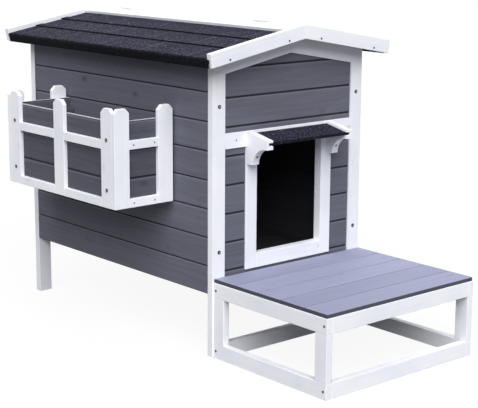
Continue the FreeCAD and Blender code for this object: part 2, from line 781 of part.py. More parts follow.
# Planter floor, with battens standing on its inner corners that hold the planter to the house wall.
inside_length = "planter_length - 2 * planter_wall"
floor_rise = "planter_bottom + planter_floor_rise"
floor_lengths = ("planter_reach - planter_wall", inside_length, "planter_floor_thick")
floor_corner = ("planter_wall - planter_reach", "planter_start + planter_wall", floor_rise)
node("planter_floor", [bar("planter_floor", floor_corner, floor_lengths)])
planter_battens = []
batten_starts = {
    "near": "planter_start + planter_wall",
    "far": "planter_end - planter_wall - planter_batten",
}
batten_lengths = ("planter_batten", "planter_batten", "planter_batten_height")
for end, back in batten_starts.items():
    corner = ("-1 * planter_batten", back, f"{floor_rise} + planter_floor_thick")
    planter_battens.append(bar(f"planter_batten_{end}", corner, batten_lengths))
node("planter_battens", planter_battens)

# Porch: two side frames, rails between them in front and behind, and deck boards across the top
# that leave a narrow ledge of the frame in sight.
rail_foot = {"top": "deck_under - porch_rail_width", "bottom": "0"}
frame_starts = {"left": "porch_shift", "right": "porch_shift + porch_width - porch_timber_thick"}
leg_starts = {"front": "-1 * porch_depth", "rear": "-1 * porch_rail_width"}
legs = []
for side, across in frame_starts.items():
    for level, height in rail_foot.items():
        name = f"porch_{side}_{level}_rail"
        lengths = ("porch_timber_thick", "porch_depth", "porch_rail_width")
        node(name, [bar(name, (across, "-1 * porch_depth", height), lengths)])
    for end, back in leg_starts.items():
        lengths = ("porch_timber_thick", "porch_rail_width", "deck_under - 2 * porch_rail_width")
        legs.append(bar(f"porch_{side}_{end}_leg", (across, back, "porch_rail_width"), lengths))
node("porch_legs", legs)
cross_starts = {"front": "-1 * porch_depth", "rear": "-1 * porch_timber_thick"}
for end, back in cross_starts.items():
    rails = []
    for level, height in rail_foot.items():
        corner = ("porch_shift + porch_timber_thick", back, height)
        lengths = ("porch_width - 2 * porch_timber_thick", "porch_timber_thick", "porch_rail_width")
        rails.append(bar(f"porch_{end}_{level}_rail", corner, lengths))
    node(f"porch_{end}_rails", rails)

deck_count = max(1, round((sheet.porch_depth - sheet.deck_inset) / sheet.deck_board_width))
deck_width = f"deck_depth / {deck_count}"
deck_start = "porch_shift + deck_inset"
deck_length = "porch_width - 2 * deck_inset"
deck_boards = []
for index in range(deck_count):
    front = f"{index} * {deck_width} - deck_depth"
    back = f"{index + 1} * {deck_width} - deck_depth"
    points = [
        (front, "deck_under"),
        (back, "deck_under"),
        (back, "deck_top - deck_groove"),
        (f"{back} - deck_groove", "deck_top"),
        (f"{front} + deck_groove", "deck_top"),
        (front, "deck_top - deck_groove"),
    ]
    deck_boards.append(prism(f"deck_board_{index}", "YZ_Plane", points, deck_start, deck_length))
node("deck_boards", deck_boards)

# Every piece has to be sound before any is written.
doc.recompute()
for thing in doc.Objects:
    if "Invalid" in thing.State or "Error" in thing.State:
        raise RuntimeError(f"{thing.Label} failed to build")
for piece in nodes:
    if piece.Shape.isNull() or not piece.Shape.isValid():
        raise RuntimeError(f"{piece.Label} has no sound shape")
    if not piece.Shape.Solids:
        raise RuntimeError(f"{piece.Label} holds no solid")
os.makedirs("parts", exist_ok=True)
for piece in nodes:
    piece.Shape.exportStep(f"parts/{piece.Label}.step")
print(len(nodes), "nodes,", sum(len(piece.Shape.Solids) for piece in nodes), "solids")
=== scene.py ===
import json
import math

import bmesh
import bpy
from mathutils import Matrix, Vector

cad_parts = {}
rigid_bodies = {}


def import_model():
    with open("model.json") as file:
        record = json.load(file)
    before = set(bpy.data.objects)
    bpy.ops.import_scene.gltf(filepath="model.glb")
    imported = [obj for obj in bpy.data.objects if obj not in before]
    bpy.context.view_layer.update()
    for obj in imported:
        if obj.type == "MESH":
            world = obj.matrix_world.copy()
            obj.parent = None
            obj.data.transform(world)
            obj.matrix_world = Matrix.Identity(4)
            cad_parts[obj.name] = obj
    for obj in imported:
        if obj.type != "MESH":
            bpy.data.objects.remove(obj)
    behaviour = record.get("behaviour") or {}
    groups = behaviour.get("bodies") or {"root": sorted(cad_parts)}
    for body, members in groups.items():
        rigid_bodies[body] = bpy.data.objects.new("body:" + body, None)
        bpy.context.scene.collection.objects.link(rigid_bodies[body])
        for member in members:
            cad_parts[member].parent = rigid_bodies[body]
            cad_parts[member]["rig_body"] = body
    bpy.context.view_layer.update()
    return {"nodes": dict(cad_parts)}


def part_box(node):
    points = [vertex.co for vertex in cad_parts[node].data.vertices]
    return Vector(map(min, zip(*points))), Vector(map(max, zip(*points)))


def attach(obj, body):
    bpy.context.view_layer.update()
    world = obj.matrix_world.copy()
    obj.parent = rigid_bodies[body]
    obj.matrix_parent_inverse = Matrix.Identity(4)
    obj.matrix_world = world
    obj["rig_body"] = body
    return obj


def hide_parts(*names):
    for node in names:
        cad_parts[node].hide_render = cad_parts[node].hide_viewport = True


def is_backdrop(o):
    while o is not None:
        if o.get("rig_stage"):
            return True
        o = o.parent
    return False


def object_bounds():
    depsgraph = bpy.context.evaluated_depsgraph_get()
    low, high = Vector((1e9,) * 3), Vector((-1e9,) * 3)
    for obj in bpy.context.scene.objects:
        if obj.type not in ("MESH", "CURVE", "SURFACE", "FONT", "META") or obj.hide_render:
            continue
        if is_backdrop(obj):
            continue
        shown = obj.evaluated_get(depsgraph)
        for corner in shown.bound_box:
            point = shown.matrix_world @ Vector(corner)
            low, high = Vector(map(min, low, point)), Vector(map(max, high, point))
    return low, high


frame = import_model()
bpy.ops.object.select_all(action="DESELECT")

# Corner posts: four flat strips of planed pine that run down to the ground as the house's legs.
# They are sawn square, their edges are eased by sanding, and they are sprayed with satin white paint.


def linear(hex_colour):
    """Turns an sRGB hex colour into the linear values that a shader socket takes."""
    levels = [int(hex_colour[i:i + 2], 16) / 255 for i in (1, 3, 5)]
    return [c / 12.92 if c <= 0.04045 else ((c + 0.055) / 1.055) ** 2.4 for c in levels] + [1.0]


def add(tree, kind, inputs=None, **settings):
    """Adds a node with its settings. An input that is a socket is linked, any other value is set."""
    made = tree.nodes.new(kind)
    for name, value in settings.items():
        setattr(made, name, value)
    for name, value in (inputs or {}).items():
        if isinstance(value, bpy.types.NodeSocket):
            tree.links.new(value, made.inputs[name])
        else:
            made.inputs[name].default_value = value
    return made.outputs


def painted_pine(name, along, tilt=0.0):
    """Satin white paint on planed pine. The eye sees an even, slightly cool white with the grain
    showing through as faint streaks and low relief, and now and then a small knot bleeding through."""
    finish = bpy.data.materials.new(name)
    finish.use_nodes = True
    tree = finish.node_tree
    shader = tree.nodes["Principled BSDF"]
    place = add(tree, "ShaderNodeTexCoord")["Object"]
    turned = add(tree, "ShaderNodeMapping", {"Vector": place, "Rotation": (0, math.radians(tilt), 0)})[0]
    grain_width, grain_length, knot_width, knot_length, cloud_size = 0.007, 0.2, 0.05, 0.11, 0.12
    grain_scale = [1 / grain_width] * 3
    grain_scale[along] = 1 / grain_length
    grain_place = add(tree, "ShaderNodeMapping", {"Vector": turned, "Scale": grain_scale})[0]
    grain = add(tree, "ShaderNodeTexNoise", {"Vector": grain_place, "Scale": 1, "Detail": 5,
                                             "Roughness": 0.6})[0]
    streak = add(tree, "ShaderNodeMapRange", {"Value": grain, "From Min": 0.3, "From Max": 0.62})[0]
    cloud = add(tree, "ShaderNodeTexNoise", {"Vector": place, "Scale": 1 / cloud_size, "Detail": 3})[0]
    cloud_share = add(tree, "ShaderNodeMapRange", {"Value": cloud, "From Min": 0.35, "From Max": 0.65})[0]
    knot_scale = [1 / knot_width] * 3
    knot_scale[along] = 1 / knot_length
    knot_place = add(tree, "ShaderNodeMapping", {"Vector": turned, "Scale": knot_scale})[0]
    knots = add(tree, "ShaderNodeTexVoronoi", {"Vector": knot_place, "Scale": 1})
    chance = add(tree, "ShaderNodeSeparateColor", {0: knots["Color"]})[0]
    picked = add(tree, "ShaderNodeMath", {0: chance, 1: 0.4}, operation="GREATER_THAN")[0]
    knot_share = add(tree, "ShaderNodeMapRange", {"Value": knots["Distance"], "From Min": 0.03,
                                                  "From Max": 0.17, "To Min": 0.5, "To Max": 0})[0]
    knot = add(tree, "ShaderNodeMath", {0: knot_share, 1: picked}, operation="MULTIPLY")[0]
    paint = add(tree, "ShaderNodeMix", {0: streak, 6: linear("#F1F2F8"), 7: linear("#F6F7FB")},
                data_type="RGBA")[2]
    shaded = add(tree, "ShaderNodeMix", {0: cloud_share, 6: linear("#F6F7FA"), 7: linear("#FFFFFF")},
                 data_type="RGBA")[2]
    toned = add(tree, "ShaderNodeMix", {0: 1.0, 6: paint, 7: shaded}, data_type="RGBA",
                blend_type="MULTIPLY")[2]
    spotted = add(tree, "ShaderNodeMix", {0: knot, 6: toned, 7: linear("#9C9AA4")}, data_type="RGBA")[2]
    gloss = add(tree, "ShaderNodeMapRange", {"Value": grain, "To Min": 0.4, "To Max": 0.56})[0]
    relief = add(tree, "ShaderNodeBump", {"Height": grain, "Strength": 0.2, "Distance": 0.0004})[0]
    tree.links.new(spotted, shader.inputs["Base Color"])
    tree.links.new(gloss, shader.inputs["Roughness"])
    tree.links.new(relief, shader.inputs["Normal"])
    shader.inputs["IOR"].default_value = 1.46
    return finish


FLAT_ANGLE, SHARP_ANGLE, SMOOTH_ANGLE = math.radians(1), math.radians(20), math.radians(50)
SAME_PLACE, EASE_STEPS, ROLL_STEPS = 1e-5, 2, 4


def dressed(node, ease, finish, roll=0.0, roll_x=0.0):
    """Copies a CAD piece, joins its triangles solid by solid and rounds its long sharp edges by ease.
    Where a roll is given, the edge that runs along roll_x is rounded by it instead."""
    mesh = frame["nodes"][node].data.copy()
    piece = bpy.data.objects.new(f"{node}_dressed", mesh)
    bpy.context.scene.collection.objects.link(piece)
    corners = [tuple(round(c, 6) for c in vertex.co) for vertex in mesh.vertices]
    solid = mesh.attributes.new("solid", "INT", "FACE")
    count, open_edges = 0, set()
    for face in mesh.polygons:
        solid.data[face.index].value = count
        ring = [corners[i] for i in face.vertices]
        open_edges ^= {frozenset(pair) for pair in zip(ring, ring[1:] + ring[:1])}
        count += not open_edges
    mesh.materials.clear()
    mesh.materials.append(finish)
    bpy.ops.object.select_all(action="DESELECT")
    piece.select_set(True)
    bpy.context.view_layer.objects.active = piece
    bpy.ops.mesh.customdata_custom_splitnormals_clear()
    bpy.ops.object.mode_set(mode="EDIT")
    bpy.ops.mesh.select_mode(type="FACE")
    for number in range(count):
        shape = bmesh.from_edit_mesh(mesh)
        numbers = shape.faces.layers.int["solid"]
        for face in shape.faces:
            face.select_set(face[numbers] == number)
        bmesh.update_edit_mesh(mesh)
        bpy.ops.mesh.remove_doubles(threshold=SAME_PLACE)
    bpy.ops.mesh.select_all(action="SELECT")
    bpy.ops.mesh.dissolve_limited(angle_limit=FLAT_ANGLE)
    shape = bmesh.from_edit_mesh(mesh)
    weights = shape.edges.layers.float.new("bevel_weight_edge")
    widest = max(ease, roll)
    for edge in shape.edges:
        sharp = edge.is_manifold and edge.calc_face_angle() > SHARP_ANGLE
        rolled = roll and all(abs(vertex.co.x - roll_x) < 10 * SAME_PLACE for vertex in edge.verts)
        share = 1.0 if rolled else ease / widest
        edge[weights] = share * (sharp and edge.calc_length() > 4 * ease)
    bmesh.update_edit_mesh(mesh)
    bpy.ops.object.mode_set(mode="OBJECT")
    easing = piece.modifiers.new("easing", "BEVEL")
    easing.limit_method = "WEIGHT"
    easing.width = widest
    easing.segments = ROLL_STEPS if roll else EASE_STEPS
    bpy.ops.object.modifier_apply(modifier="easing")
    for name in ("solid", "bevel_weight_edge"):
        layer = mesh.attributes.get(name)
        if layer:
            mesh.attributes.remove(layer)
    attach(piece, frame["nodes"][node]["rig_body"])
    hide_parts(node)
    return piece


def smoothed(piece):
    """Shades the rounded edges smooth and keeps the flat faces flat."""
    bpy.ops.object.select_all(action="DESELECT")
    piece.select_set(True)
    bpy.context.view_layer.objects.active = piece
    bpy.ops.object.shade_smooth_by_angle(angle=SMOOTH_ANGLE)
    piece.modifiers.new("flats", "WEIGHTED_NORMAL").keep_sharp = True
    bpy.ops.object.modifier_apply(modifier="flats")
    return piece


SANDED_EASE = 0.0012
upright_paint = painted_pine("white_painted_pine_upright", 2)
for post in ("front_left_post", "front_right_post", "back_left_post", "back_right_post"):
    smoothed(dressed(post, SANDED_EASE, upright_paint))

# Gable frames: two rafters at each end, mitred at the ridge and butted to the posts under the roof.
# They are the same planed and painted pine as the posts, with the grain along the slope.
ROOF_PITCH, SQUARE_EASE = 10.2, 0.0008
left_slope_paint = painted_pine("white_painted_pine_left_slope", 0, ROOF_PITCH)
right_slope_paint = painted_pine("white_painted_pine_right_slope", 0, -ROOF_PITCH)
for end in ("front", "back"):
    smoothed(dressed(f"{end}_left_rafter", SQUARE_EASE, left_slope_paint))
    smoothed(dressed(f"{end}_right_rafter", SQUARE_EASE, right_slope_paint))

# Face rails: strips of painted pine across each gable, one over the doorway and one at the foot.
# They are fixed at their ends with zinc plated nails, whose dull domed heads stand on the paint.


def plain_steel(name, dark, light, metal):
    """Bare, zinc plated or coated steel. The eye sees a dull surface with soft cloudy patches, dark where
    the metal has oxidised and white where it is coated."""
    finish = bpy.data.materials.new(name)
    finish.use_nodes = True
    tree = finish.node_tree
    shader = tree.nodes["Principled BSDF"]
    place = add(tree, "ShaderNodeTexCoord")["Object"]
    patch_size = 0.003
    cloud = add(tree, "ShaderNodeTexNoise", {"Vector": place, "Scale": 1 / patch_size, "Detail": 4})[0]
    colour = add(tree, "ShaderNodeMix", {0: cloud, 6: linear(dark), 7: linear(light)}, data_type="RGBA")[2]
    gloss = add(tree, "ShaderNodeMapRange", {"Value": cloud, "To Min": 0.35, "To Max": 0.6})[0]
    tree.links.new(colour, shader.inputs["Base Color"])
    tree.links.new(gloss, shader.inputs["Roughness"])
    shader.inputs["Metallic"].default_value = metal
    return finish


HEAD_SIDES, CROWN_INNER, CROWN_OUTER = 24, 0.25, 0.45


def round_head(name, radius, rim, steps, finishes, shank=None):
    """Models a fastener that faces up, with the timber's face at height 0: a disc, stepped in and up
    or down on top by steps, and with a shank of that radius and length below it where one is given.
    A second finish goes on the crown, between the head's shoulder and its socket, as a painted highlight."""
    bpy.ops.object.select_all(action="DESELECT")
    middle = (0, 0, rim / 2)
    bpy.ops.mesh.primitive_cylinder_add(vertices=HEAD_SIDES, radius=radius, depth=rim, location=middle)
    head = bpy.context.object
    head.name = name
    bpy.ops.object.transform_apply()
    sides = [(1, steps)]
    if shank:
        sides.append((-1, [(radius - shank[0], 0), (SAME_PLACE, -shank[1])]))
    for side, moves in sides:
        bpy.ops.object.mode_set(mode="EDIT")
        bpy.ops.mesh.select_mode(type="FACE")
        bpy.ops.mesh.select_all(action="DESELECT")
        shape = bmesh.from_edit_mesh(head.data)
        max(shape.faces, key=lambda face: side * face.calc_center_median().z).select_set(True)
        bmesh.update_edit_mesh(head.data)
        for inset, rise in moves:
            bpy.ops.mesh.inset(thickness=inset)
            bpy.ops.transform.translate(value=(0, 0, rise))
        bpy.ops.object.mode_set(mode="OBJECT")
    for finish in finishes:
        head.data.materials.append(finish)
    # The second finish, on the crown, is a painted highlight.
    for face in head.data.polygons:
        raised = face.center.z > rim + SAME_PLACE
        crown = raised and CROWN_INNER * radius < face.center.xy.length < CROWN_OUTER * radius
        face.material_index = int(crown and len(finishes) > 1)
    return head


def set_out(head, name, spots, body):
    """Sets a copy of a fastener at each spot, a point and the way it faces, and joins them as one piece."""
    copies = []
    for point, facing in spots:
        copy = head.copy()
        copy.data = head.data.copy()
        turn = Vector(facing).to_track_quat("Z", "Y").to_matrix().to_4x4()
        copy.data.transform(Matrix.Translation(point) @ turn)
        bpy.context.scene.collection.objects.link(copy)
        copies.append(copy)
    bpy.ops.object.select_all(action="DESELECT")
    for copy in copies:
        copy.select_set(True)
    bpy.context.view_layer.objects.active = copies[0]
    bpy.ops.object.join()
    piece = bpy.context.object
    piece.name = name
    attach(piece, body)
    return smoothed(piece)


PLANED_EASE, NAIL_INSET, ZINC_NAIL_RADIUS, HEAD_RIM = 0.001, 0.035, 0.0021, 0.0003
cross_paint = painted_pine("white_painted_pine_cross", 0)
for rail in ("front_mid_rail", "back_mid_rail", "front_bottom_rail", "back_bottom_rail"):
    smoothed(dressed(rail, PLANED_EASE, cross_paint))
dull_zinc = plain_steel("zinc_plated_steel_dull", "#65656D", "#82828A", 0.2)
zinc_steps = [(0.0006, 0.0002), (0.0006, 0.0001)]
zinc_nail = round_head("zinc_nail", ZINC_NAIL_RADIUS, HEAD_RIM, zinc_steps, [dull_zinc])
rail_nails = []
for rail, face, facing in (("front_mid_rail", 0, -1), ("back_mid_rail", 1, 1)):
    low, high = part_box(rail)
    height = (low[2] + high[2]) / 2
    for across in (low[0] + NAIL_INSET, high[0] - NAIL_INSET):
        rail_nails.append(((across, (low, high)[face][1], height), (0, facing, 0)))
set_out(zinc_nail, "mid_rail_nails", rail_nails, "house")

# Corner battens, floor bearers and floor boards: the hidden timber inside the house.
# The boards of the walls are nailed to the battens, and the floor lies on the bearers.


def stained_pine(
    name, along, across, first, width, dark, light, groove=0.0, knots=0.5, edge=None, rim=None, core=None
):
    """Dark water stain on sawn pine boards. The eye sees a matte grey with paler streaks along the
    grain, a slightly different tone on each board, and darker knots. Where the boards are grooved, a
    groove of that half width is near black, partly stain gathered there and partly painted shade,
    with a painted highlight on the board's edge below it. An edge colour is painted shade on faces that
    look sideways, and a rim, a colour and a height, gives a painted highlight on faces that look up above
    it. Faces that look to a core, a point inside the house, are painted near black as shade."""
    finish = bpy.data.materials.new(name)
    finish.use_nodes = True
    tree = finish.node_tree
    shader = tree.nodes["Principled BSDF"]
    spots = add(tree, "ShaderNodeTexCoord")
    place = spots["Object"]
    axes = add(tree, "ShaderNodeSeparateXYZ", {0: place})
    from_first = add(tree, "ShaderNodeMath", {0: axes[across], 1: first}, operation="SUBTRACT")[0]
    in_boards = add(tree, "ShaderNodeMath", {0: from_first, 1: width}, operation="DIVIDE")[0]
    number = add(tree, "ShaderNodeMath", {0: in_boards}, operation="FLOOR")[0]
    own = add(tree, "ShaderNodeTexWhiteNoise", {"W": number}, noise_dimensions="1D")
    shifted = add(tree, "ShaderNodeVectorMath", {0: place, 1: own["Color"]}, operation="ADD")[0]
    grain_width, grain_length, knot_width, knot_length = 0.008, 0.19, 0.065, 0.11
    grain_scale = [1 / grain_width] * 3
    grain_scale[along] = 1 / grain_length
    grain_place = add(tree, "ShaderNodeMapping", {"Vector": shifted, "Scale": grain_scale})[0]
    grain = add(tree, "ShaderNodeTexNoise", {"Vector": grain_place, "Scale": 1, "Detail": 6,
                                             "Roughness": 0.62, "Distortion": 0.4})[0]
    streak = add(tree, "ShaderNodeMapRange", {"Value": grain, "From Min": 0.28, "From Max": 0.7})[0]
    stain = add(tree, "ShaderNodeMix", {0: streak, 6: linear(dark), 7: linear(light)}, data_type="RGBA")[2]
    board_tone = add(tree, "ShaderNodeMapRange", {"Value": own["Value"], "To Min": 0.92, "To Max": 1.06})[0]
    toned = add(tree, "ShaderNodeVectorMath", {0: stain, "Scale": board_tone}, operation="SCALE")[0]
    knot_scale = [1 / knot_width] * 3
    knot_scale[along] = 1 / knot_length
    knot_place = add(tree, "ShaderNodeMapping", {"Vector": shifted, "Scale": knot_scale})[0]
    knot_ring = add(tree, "ShaderNodeTexVoronoi", {"Vector": knot_place, "Scale": 1})["Distance"]
    knot = add(tree, "ShaderNodeMapRange", {"Value": knot_ring, "From Min": 0.05, "From Max": 0.16,
                                            "To Min": knots, "To Max": 0})[0]
    colour = add(tree, "ShaderNodeMix", {0: knot, 6: toned, 7: linear("#34353C")}, data_type="RGBA")[2]
    # Painted shade, with gathered stain, darkens each groove, and a painted highlight lightens the board's
    # edge below it.
    if groove:
        part = add(tree, "ShaderNodeMath", {0: in_boards}, operation="FRACT")[0]
        rise = add(tree, "ShaderNodeMath", {0: part, 1: width}, operation="MULTIPLY")[0]
        fall = add(tree, "ShaderNodeMath", {0: width, 1: rise}, operation="SUBTRACT")[0]
        nearest = add(tree, "ShaderNodeMath", {0: rise, 1: fall}, operation="MINIMUM")[0]
        highlight_start, highlight_end, blur = groove + 0.001, groove + 0.005, 0.0007
        edge_highlight = add(tree, "ShaderNodeMapRange", {"Value": fall, "From Min": highlight_start, "From Max": highlight_end,
                                                "To Min": 0.4, "To Max": 0})[0]
        run = add(tree, "ShaderNodeMapRange", {"Value": nearest, "From Min": groove - blur,
                                               "From Max": groove + blur, "To Min": 0.92, "To Max": 0})[0]
        colour = add(tree, "ShaderNodeMix", {0: edge_highlight, 6: colour, 7: linear("#878894")}, data_type="RGBA")[2]
        colour = add(tree, "ShaderNodeMix", {0: run, 6: colour, 7: linear("#0E0E18")}, data_type="RGBA")[2]
    if edge or rim:
        facing = add(tree, "ShaderNodeSeparateXYZ", {0: spots["Normal"]})[2]
    # Painted shade: faces that look sideways get the darker edge colour.
    if edge:
        side_shade_share = add(tree, "ShaderNodeMapRange", {"Value": facing, "From Min": 0.35, "From Max": 0.85,
                                                    "To Min": 1, "To Max": 0})[0]
        colour = add(tree, "ShaderNodeMix", {0: side_shade_share, 6: colour, 7: linear(edge)}, data_type="RGBA")[2]
    # Painted highlight on faces that look up above the rim's height.
    if rim:
        upward = add(tree, "ShaderNodeMapRange", {"Value": facing, "From Min": 0.6, "From Max": 0.9})[0]
        high = add(tree, "ShaderNodeMath", {0: axes[2], 1: rim[1]}, operation="GREATER_THAN")[0]
        top_highlight_share = add(tree, "ShaderNodeMath", {0: upward, 1: high}, operation="MULTIPLY")[0]
        colour = add(tree, "ShaderNodeMix", {0: top_highlight_share, 6: colour, 7: linear(rim[0])}, data_type="RGBA")[2]
    # Painted shade: faces that look to the core are darkened near black.
    if core:
        from_core = add(tree, "ShaderNodeVectorMath", {0: place, 1: core}, operation="SUBTRACT")[0]
        level = add(tree, "ShaderNodeVectorMath", {0: from_core, 1: (1, 1, 0)}, operation="MULTIPLY")[0]
        outward = add(tree, "ShaderNodeVectorMath", {0: level, 1: spots["Normal"]},
                      operation="DOT_PRODUCT")["Value"]
        inner = add(tree, "ShaderNodeMapRange", {"Value": outward, "From Min": -0.08, "From Max": -0.03,
                                                 "To Min": 1, "To Max": 0})[0]
        colour = add(tree, "ShaderNodeMix", {0: inner, 6: colour, 7: linear("#36363B")}, data_type="RGBA")[2]
    gloss = add(tree, "ShaderNodeMapRange", {"Value": grain, "To Min": 0.66, "To Max": 0.84})[0]
    relief = add(tree, "ShaderNodeBump", {"Height": grain, "Strength": 0.4, "Distance": 0.0006})[0]
    tree.links.new(colour, shader.inputs["Base Color"])
    tree.links.new(gloss, shader.inputs["Roughness"])
    tree.links.new(relief, shader.inputs["Normal"])
    shader.inputs["IOR"].default_value = 1.36
    return finish


# The timber inside gets a near black colour, painted shade for the dark inside of the house.
INSIDE_SHADE_DARK, INSIDE_SHADE_LIGHT = "#242428", "#323237"
BATTEN_FIRST, BATTEN_PITCH = -0.17, 0.05
FLOOR_FIRST, FLOOR_PITCH = -0.1703, 0.118
inside_painted_shade = stained_pine(
    "pine_inside_painted_shade", 2, 0, BATTEN_FIRST, BATTEN_PITCH, INSIDE_SHADE_DARK, INSIDE_SHADE_LIGHT
)
floor_painted_shade = stained_pine(
    "pine_floor_painted_shade", 1, 0, FLOOR_FIRST, FLOOR_PITCH, INSIDE_SHADE_DARK, INSIDE_SHADE_LIGHT
)
smoothed(dressed("corner_battens", PLANED_EASE, inside_painted_shade))
smoothed(dressed("floor_bearers", PLANED_EASE, inside_painted_shade))
smoothed(dressed("floor_boards", PLANED_EASE, floor_painted_shade))

# Wall boards: lapped pine boards with a small groove at each lap, stained grey before assembly.
# On the gables they are sawn along the rafters and round the doorway. Inside, painted shade makes them near
# black.
WALL_DARK, WALL_LIGHT = "#595A65", "#686976"
BOARD_PITCH, BOARD_GROOVE, SIDE_GROOVE = 0.070, 0.0026, 0.0019
GABLE_FIRST, SIDE_FIRST, SAWN_EASE = 0.140, 0.156, 0.0006
left_low, right_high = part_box("left_wall_boards")[0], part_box("right_wall_boards")[1]
HOUSE_CORE = [(left_low[i] + right_high[i]) / 2 for i in range(3)]
# Their grooves get painted shade with gathered stain, and a painted highlight on the edge below each.
gable_stain = stained_pine(
    "grey_stained_pine_gable", 0, 2, GABLE_FIRST, BOARD_PITCH, WALL_DARK, WALL_LIGHT, BOARD_GROOVE,
    core=HOUSE_CORE,
)
side_stain = stained_pine(
    "grey_stained_pine_side", 1, 2, SIDE_FIRST, BOARD_PITCH, WALL_DARK, WALL_LIGHT, SIDE_GROOVE,
    core=HOUSE_CORE,
)
for wall in ("front_lower_boards", "front_head_board", "front_gable_boards", "back_wall_boards"):
    smoothed(dressed(wall, SAWN_EASE, gable_stain))
for wall in ("left_wall_boards", "right_wall_boards"):
    smoothed(dressed(wall, SAWN_EASE, side_stain))

# Door frame: two jambs and a sill of planed pine, let into the boards round the doorway.
# They are flush with the posts, eased at the edges and sprayed in the same white.
for jamb in ("door_left_jamb", "door_right_jamb"):
    smoothed(dressed(jamb, SANDED_EASE, upright_paint))
smoothed(dressed("door_sill", SANDED_EASE, cross_paint))

# Canopy: two sawn brackets with a groove each, and a thin felted board slid into the grooves.
# One countersunk screw in the hollow of each bracket holds it to the jamb behind.
depth_paint = painted_pine("white_painted_pine_depth", 1)
for bracket in ("canopy_left_bracket", "canopy_right_bracket"):
    smoothed(dressed(bracket, PLANED_EASE, depth_paint))
UNDER_DARK, UNDER_LIGHT, CANOPY_PITCH = "#2E2E34", "#3C3D45", 0.12
dark_stain = stained_pine("grey_stained_pine_dark", 0, 1, 0.0, CANOPY_PITCH, UNDER_DARK, UNDER_LIGHT)
smoothed(dressed("canopy_board", SQUARE_EASE, dark_stain))
dark_steel = plain_steel("oxidised_steel_dark", "#232327", "#37373C", 0.3)
SCREW_RADIUS, SCREW_TURN = 0.0031, math.radians(28)
screw_steps = [(0.0013, 0.0), (0.0004, -0.0002)]
screw = round_head("countersunk_screw", SCREW_RADIUS, HEAD_RIM, screw_steps, [dark_steel])
HOLLOW_RADIUS, HOLLOW_REACH, HOLLOW_DROP = 0.043, 0.066, 0.001
bracket_screws = []
for bracket in ("canopy_left_bracket", "canopy_right_bracket"):
    low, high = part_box(bracket)
    facing = Vector((0, -math.cos(SCREW_TURN), -math.sin(SCREW_TURN)))
    centre = Vector(((low[0] + high[0]) / 2, high[1] - HOLLOW_REACH, low[2] - HOLLOW_DROP))
    bracket_screws.append((centre - HOLLOW_RADIUS * facing, facing))
set_out(screw, "bracket_screws", bracket_screws, "house")


